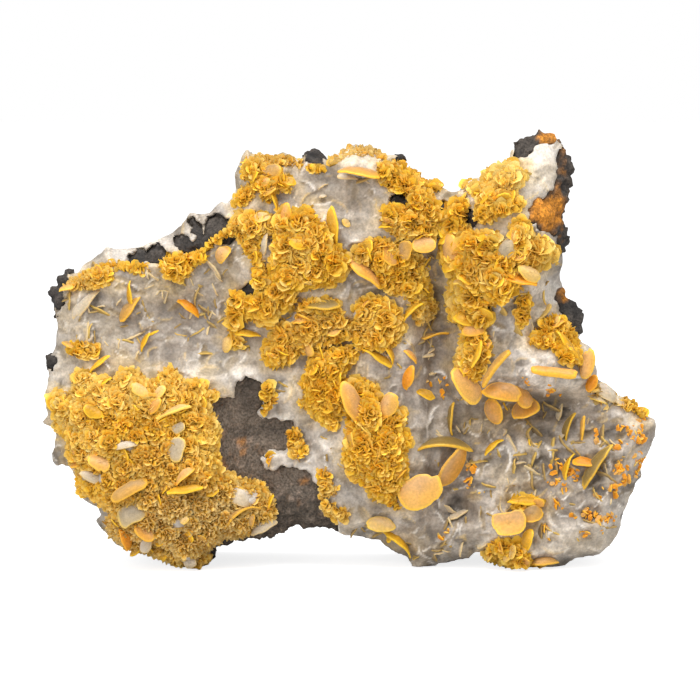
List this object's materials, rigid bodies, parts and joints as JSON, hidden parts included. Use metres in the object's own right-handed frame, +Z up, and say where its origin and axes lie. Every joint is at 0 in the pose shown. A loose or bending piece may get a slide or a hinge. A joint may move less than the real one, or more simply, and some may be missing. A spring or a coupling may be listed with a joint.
{
  "type": "rough wulfenite specimen",
  "caption": "Rough mineral hand specimen: yellow wulfenite rosettes and lens-shaped blades on a milky quartz crust over dark ironstone, standing on its broken lower edge.",
  "frame": {"origin": "on the ground, under the middle of the specimen's bounding box", "axes": "+X to the specimen's right along its length, +Z up, and the crystals face -Y"},
  "size_m": [0.1227, 0.0369, 0.0876],
  "materials": {
    "matrix_rock": "matte",
    "quartz_crust": "satin",
    "wulfenite_rosettes": "satin",
    "wulfenite_blades": "satin"
  },
  "bodies": {
    "root": {"blade_broad_plate": "wulfenite_blades", "blade_column_petal": "wulfenite_blades", "blade_feather": "wulfenite_blades", "blade_gully_petal": "wulfenite_blades", "blade_ledge_bar": "wulfenite_blades", "blade_ledge_lens": "wulfenite_blades", "blade_ledge_petal": "wulfenite_blades", "blade_ledge_tongue": "wulfenite_blades", "blade_pale": "wulfenite_blades", "blade_panel_lens": "wulfenite_blades", "blade_panel_wing": "wulfenite_blades", "blade_right_corner": "wulfenite_blades", "blade_right_edge": "wulfenite_blades", "blade_spindle": "wulfenite_blades", "blade_top_shelf": "wulfenite_blades", "bottom_blades": "wulfenite_blades", "hollow_blades": "wulfenite_blades", "matrix": "matrix_rock", "quartz_crust": "quartz_crust", "rosettes_column": "wulfenite_rosettes", "rosettes_foot": "wulfenite_rosettes", "rosettes_gully": "wulfenite_rosettes", "rosettes_horn": "wulfenite_rosettes", "rosettes_lower_left": "wulfenite_rosettes", "rosettes_lower_middle": "wulfenite_rosettes", "rosettes_middle": "wulfenite_rosettes", "rosettes_middle_left": "wulfenite_rosettes", "rosettes_middle_low": "wulfenite_rosettes", "rosettes_middle_right": "wulfenite_rosettes", "rosettes_panel_left": "wulfenite_rosettes", "rosettes_panel_top": "wulfenite_rosettes", "rosettes_ridge": "wulfenite_rosettes", "rosettes_ridge_foot": "wulfenite_rosettes", "rosettes_right_edge": "wulfenite_rosettes", "rosettes_top_left": "wulfenite_rosettes", "rosettes_top_right": "wulfenite_rosettes"}
  },
  "joints": []
}
